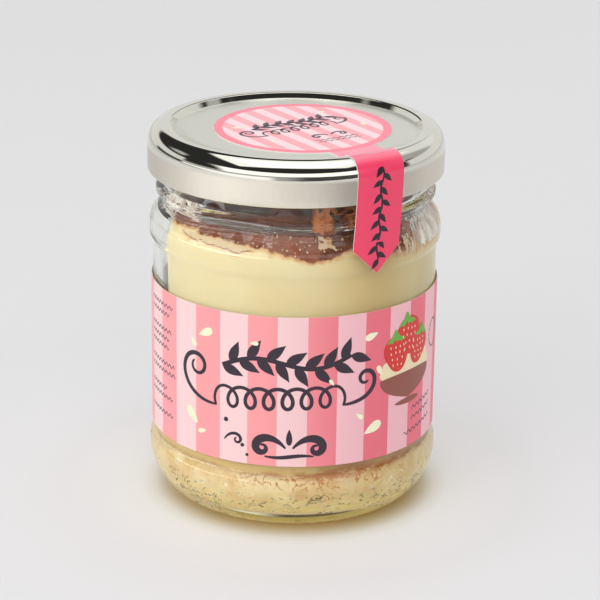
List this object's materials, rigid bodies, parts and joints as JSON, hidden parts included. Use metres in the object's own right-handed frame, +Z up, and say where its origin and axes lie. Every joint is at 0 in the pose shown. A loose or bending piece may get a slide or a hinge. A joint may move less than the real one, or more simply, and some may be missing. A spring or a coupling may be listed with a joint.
{
  "type": "cheesecake jar",
  "caption": "Baked cheesecake on a biscuit layer in a round glass jar, with a twist-off metal lid, a striped paper label and a seal sticker over the lid's edge.",
  "frame": {"origin": "middle of the jar's bearing ring, at floor level", "axes": "+Z up along the jar's axis, -Y to the front, where the middle of the label is, +X to the right"},
  "size_m": [0.0736, 0.0736, 0.0959],
  "materials": {
    "jar_glass": "clear, smooth",
    "lid_steel": "satin tinplate, finely brushed",
    "sticker_film": "satin printed film",
    "label_paper": "satin coated paper, striped",
    "baked_cream": "moist, browned at the top",
    "biscuit": "pressed crumb"
  },
  "bodies": {
    "root": {"jar": "jar_glass", "lid": "lid_steel", "lid_sticker": "sticker_film", "jar_label": "label_paper", "cheesecake": "baked_cream", "biscuit_base": "biscuit"}
  },
  "joints": []
}
